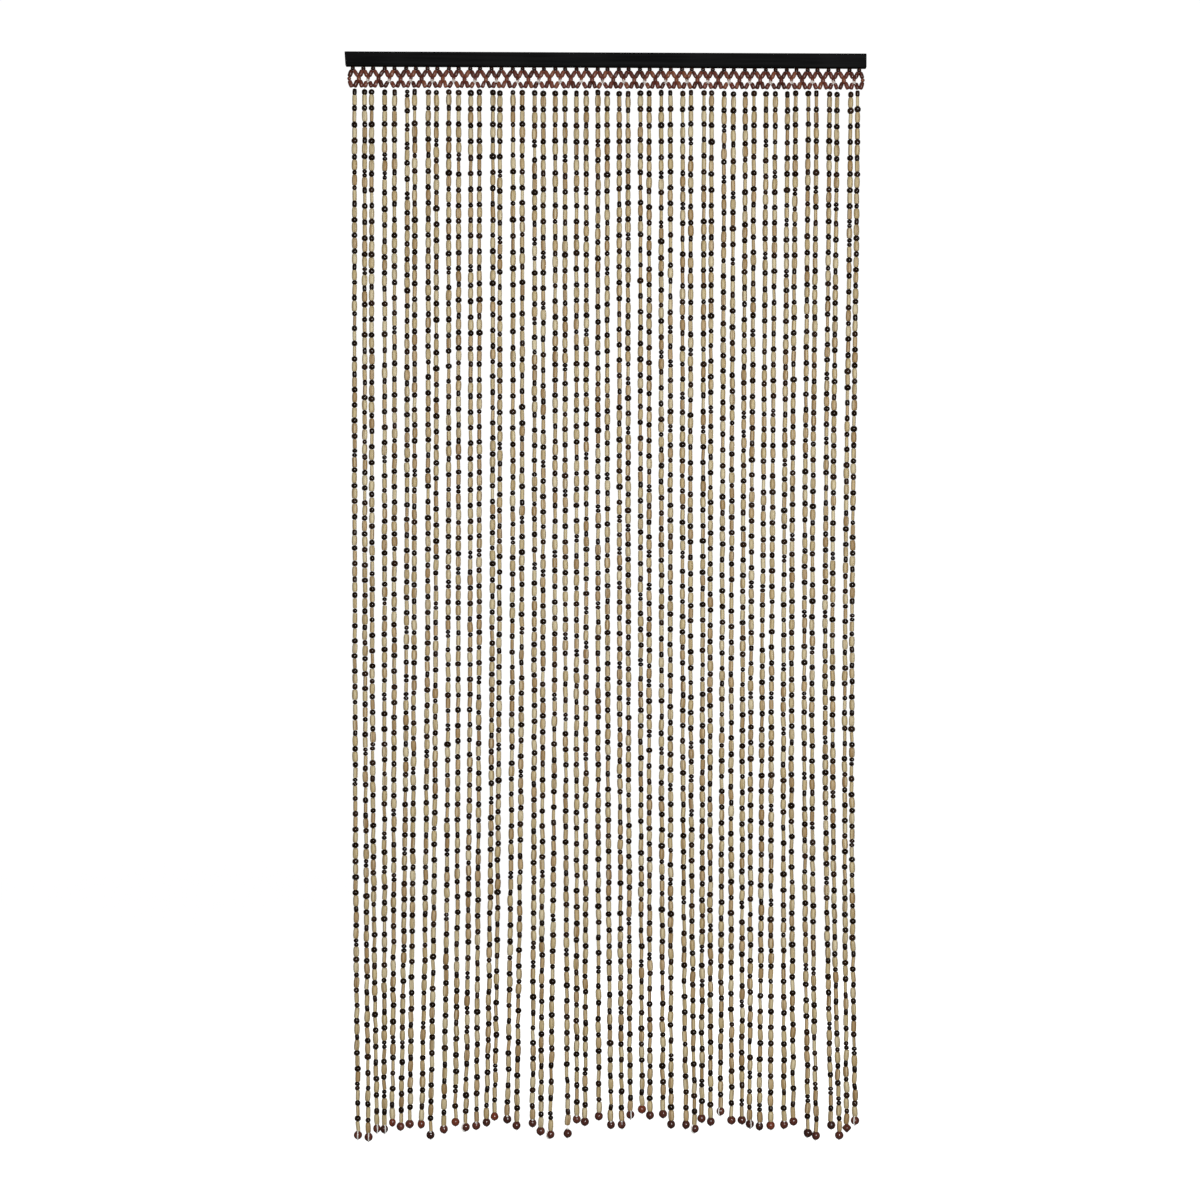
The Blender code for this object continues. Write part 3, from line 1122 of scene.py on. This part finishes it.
def end_knot(strand, chance):
    """The knot above an end bead. On some strands it has slid to the front."""
    lean = math.radians(FRONT_KNOT_LEAN if strand.number in FRONT_KNOTS else BACK_KNOT_LEAN)
    outwards = Vector((0, -math.sin(lean), math.cos(lean)))
    place = strand.end_bead + outwards * (END_WIDTH / 2)
    return knot_points(place, chance.uniform(0, math.tau), END_KNOT_SIZE)


def knot_tails(place, chance):
    """Two cut ends that hang from a knot."""
    tails = []
    for side in (-1, 1):
        aside = side * chance.uniform(0.3, 0.8)
        forwards = chance.uniform(0.2, 0.5)
        down = chance.uniform(0.6, 1)
        swing = Vector((aside, -forwards, -down))
        tails.append([place, place + swing * TAIL_LENGTH / 2, place + swing * TAIL_LENGTH])
    return tails


chance = random.Random(KNOT_SEED)
for run, strand in zip(thread_runs, strands):
    run.append(strand.end_bead)
draw_threads("strand_threads", thread_runs, THREAD_WIDTH)
draw_threads("net_threads", net_runs, THREAD_WIDTH)
draw_threads("net_heels", heel_runs, HEEL_WIDTH, material=heel_dark)
draw_threads("end_loops", [loop_round(strand) for strand in strands], LOOP_WIDTH)
knot_runs = [knot_points(place, chance.uniform(0, math.tau), KNOT_SIZE) for place in knots]
draw_threads("net_knots", knot_runs, KNOT_THREAD_WIDTH, closed=True, material=greyed_twine)
end_knot_runs = [end_knot(strand, chance) for strand in strands]
draw_threads("end_knots", end_knot_runs, THREAD_WIDTH, closed=True)
tails = [tail for place in knots for tail in knot_tails(place, chance)]
draw_threads("knot_tails", tails, TAIL_WIDTH, material=greyed_twine)

# %% [markdown]
# ## The studio
# The curtain was photographed flat on, against plain white. A photographer would use a paper roll
# that runs up from the floor in one bend. Here the roll goes all the way round, as a wide bowl
# that is spun about the curtain, so that the ground stays plain from every side. The paper gives
# off a little light of its own: it comes out white in the picture without strong lamps, which
# would wash out the edges of the beads. For the same reason it is hidden from reflections.

# %% Floor and backdrop
FLOOR_Z = -2.15
BOWL_RADIUS = 9.0
BEND_RADIUS = 2.0
BOWL_TOP_Z = 6.0
BEND_STEPS = 12
BOWL_STEPS = 64


def bowl():
    """The paper's outline from the middle of the floor outwards and up, spun about +Z."""
    bm = bmesh.new()
    first = bm.verts.new((0, 0, FLOOR_Z))
    flat = bm.verts.new((BOWL_RADIUS - BEND_RADIUS, 0, FLOOR_Z))
    bm.edges.new((first, flat))
    centre = (BOWL_RADIUS - BEND_RADIUS, 0, FLOOR_Z + BEND_RADIUS)
    bent = bmesh.ops.spin(
        bm, geom=[flat], cent=centre, axis=(0, -1, 0), angle=math.pi / 2, steps=BEND_STEPS
    )
    last = [item for item in bent["geom_last"] if isinstance(item, bmesh.types.BMVert)][0]
    top = bm.verts.new((last.co.x, 0, BOWL_TOP_Z))
    bm.edges.new((last, top))
    bmesh.ops.spin(
        bm,
        geom=bm.verts[:] + bm.edges[:],
        axis=(0, 0, 1),
        cent=(0, 0, 0),
        angle=math.tau,
        steps=BOWL_STEPS,
        use_merge=True,
    )
    bmesh.ops.remove_doubles(bm, verts=bm.verts, dist=ON_AXIS)
    bmesh.ops.recalc_face_normals(bm, faces=bm.faces)
    bmesh.ops.reverse_faces(bm, faces=bm.faces)
    for face in bm.faces:
        face.smooth = True
    mesh = bpy.data.meshes.new("backdrop")
    bm.to_mesh(mesh)
    bm.free()
    return mesh


def paper_finish():
    constants = {
        "Specular IOR Level": 0.1,
        "Emission Color": (1.0, 1.0, 1.0, 1.0),
        "Emission Strength": 0.98,
    }
    finish = Finish("white_paper", constants)
    place = finish.node("ShaderNodeTexCoord", {}, {})["Object"]
    mottle = finish.noise(place, 2.0, 3.0)
    finish.set("Base Color", finish.mix(mottle, (0.22, 0.22, 0.22, 1), (0.26, 0.26, 0.26, 1)))
    finish.set("Roughness", 0.85 + 0.1 * mottle)
    return finish.material


floor = bpy.data.objects.new("backdrop", bowl())
floor.data.materials.append(paper_finish())
floor.visible_glossy = False
floor.visible_diffuse = False
bpy.context.scene.collection.objects.link(floor)
print("the floor is at", FLOOR_Z, "and has", len(floor.data.polygons), "faces")

# %% [markdown]
# ## Light
# Many beads show one soft bright spot, a little above and to the right of the middle, and their
# edges stay dark. So the main light is a softbox beside the camera and above it, and little
# comes from elsewhere: a weak fill from the left and a dim sky keep the shadows open. A lamp
# behind is for the views from there. The fill and that lamp are hidden from reflections: the fill
# would put a second bright spot on each bead, and the lamp behind a white line along its edge.

# %% Lights and sky
scene = bpy.context.scene
scene.view_settings.view_transform = "Standard"
MIDDLE = Vector((0, 0, -0.93))  # of the curtain
SKY_STRENGTH = 0.07


def area_light(name, place, size, watts):
    """A lamp that is aimed at the middle of the curtain."""
    data = bpy.data.lights.new(name, "AREA")
    data.shape = "RECTANGLE"
    data.size, data.size_y = size
    data.energy = watts
    lamp = bpy.data.objects.new(name, data)
    lamp.location = place
    lamp.rotation_euler = (MIDDLE - lamp.location).to_track_quat("-Z", "Y").to_euler()
    scene.collection.objects.link(lamp)
    return lamp


area_light("softbox", place=(0.9, -4.1, -0.4), size=(0.8, 1.0), watts=168)
fill = area_light("fill", place=(-2.6, -3.2, -0.6), size=(1.6, 2.2), watts=24)
back = area_light("back", place=(1.2, 4.0, -0.2), size=(1.6, 1.6), watts=130)
fill.visible_glossy = False
back.visible_glossy = False

sky = bpy.data.worlds.new("studio")
sky.use_nodes = True
sky_light = sky.node_tree.nodes["Background"]
sky_light.inputs["Color"].default_value = (1.0, 1.0, 1.0, 1.0)
sky_light.inputs["Strength"].default_value = SKY_STRENGTH
scene.world = sky

# %% [markdown]
# ## Camera
# The picture shows the curtain square on. A long lens from 4.5 m keeps the strands parallel, as
# they are there. The picture is 1200 pixels square and the batten spans 521.5 of them, which gives
# the size of the view. The batten's right end is a hair low there, so the camera is rolled by a
# quarter of a degree.

# %% Place the camera
IMAGE_PIXELS = 1200
BATTEN_PIXELS = 521.5
BATTEN_MIDDLE_PIXEL = (605.5, 60.2)
BATTEN_LENGTH = 0.900
CAMERA_DISTANCE = 4.5
CAMERA_ROLL = 0.24
SENSOR = 36.0

metres_per_pixel = BATTEN_LENGTH / BATTEN_PIXELS
view_width = IMAGE_PIXELS * metres_per_pixel
picture_plane_y = strands[0].foot.y
roll = math.radians(CAMERA_ROLL)
right_of_batten = (IMAGE_PIXELS / 2 - BATTEN_MIDDLE_PIXEL[0]) * metres_per_pixel
below_batten = (IMAGE_PIXELS / 2 - BATTEN_MIDDLE_PIXEL[1]) * metres_per_pixel

camera_data = bpy.data.cameras.new("camera")
camera_data.sensor_width = SENSOR
camera_data.lens = SENSOR * CAMERA_DISTANCE / view_width
camera = bpy.data.objects.new("camera", camera_data)
camera_x = right_of_batten * math.cos(roll) + below_batten * math.sin(roll)
camera_z = -below_batten * math.cos(roll) + right_of_batten * math.sin(roll)
camera.location = (camera_x, picture_plane_y - CAMERA_DISTANCE, camera_z)
upright = Matrix.Rotation(math.pi / 2, 3, "X")
camera.rotation_euler = (upright @ Matrix.Rotation(roll, 3, "Z")).to_euler()
scene.collection.objects.link(camera)
scene.camera = camera
print("lens", round(camera_data.lens, 1), "mm at", [round(v, 3) for v in camera.location])
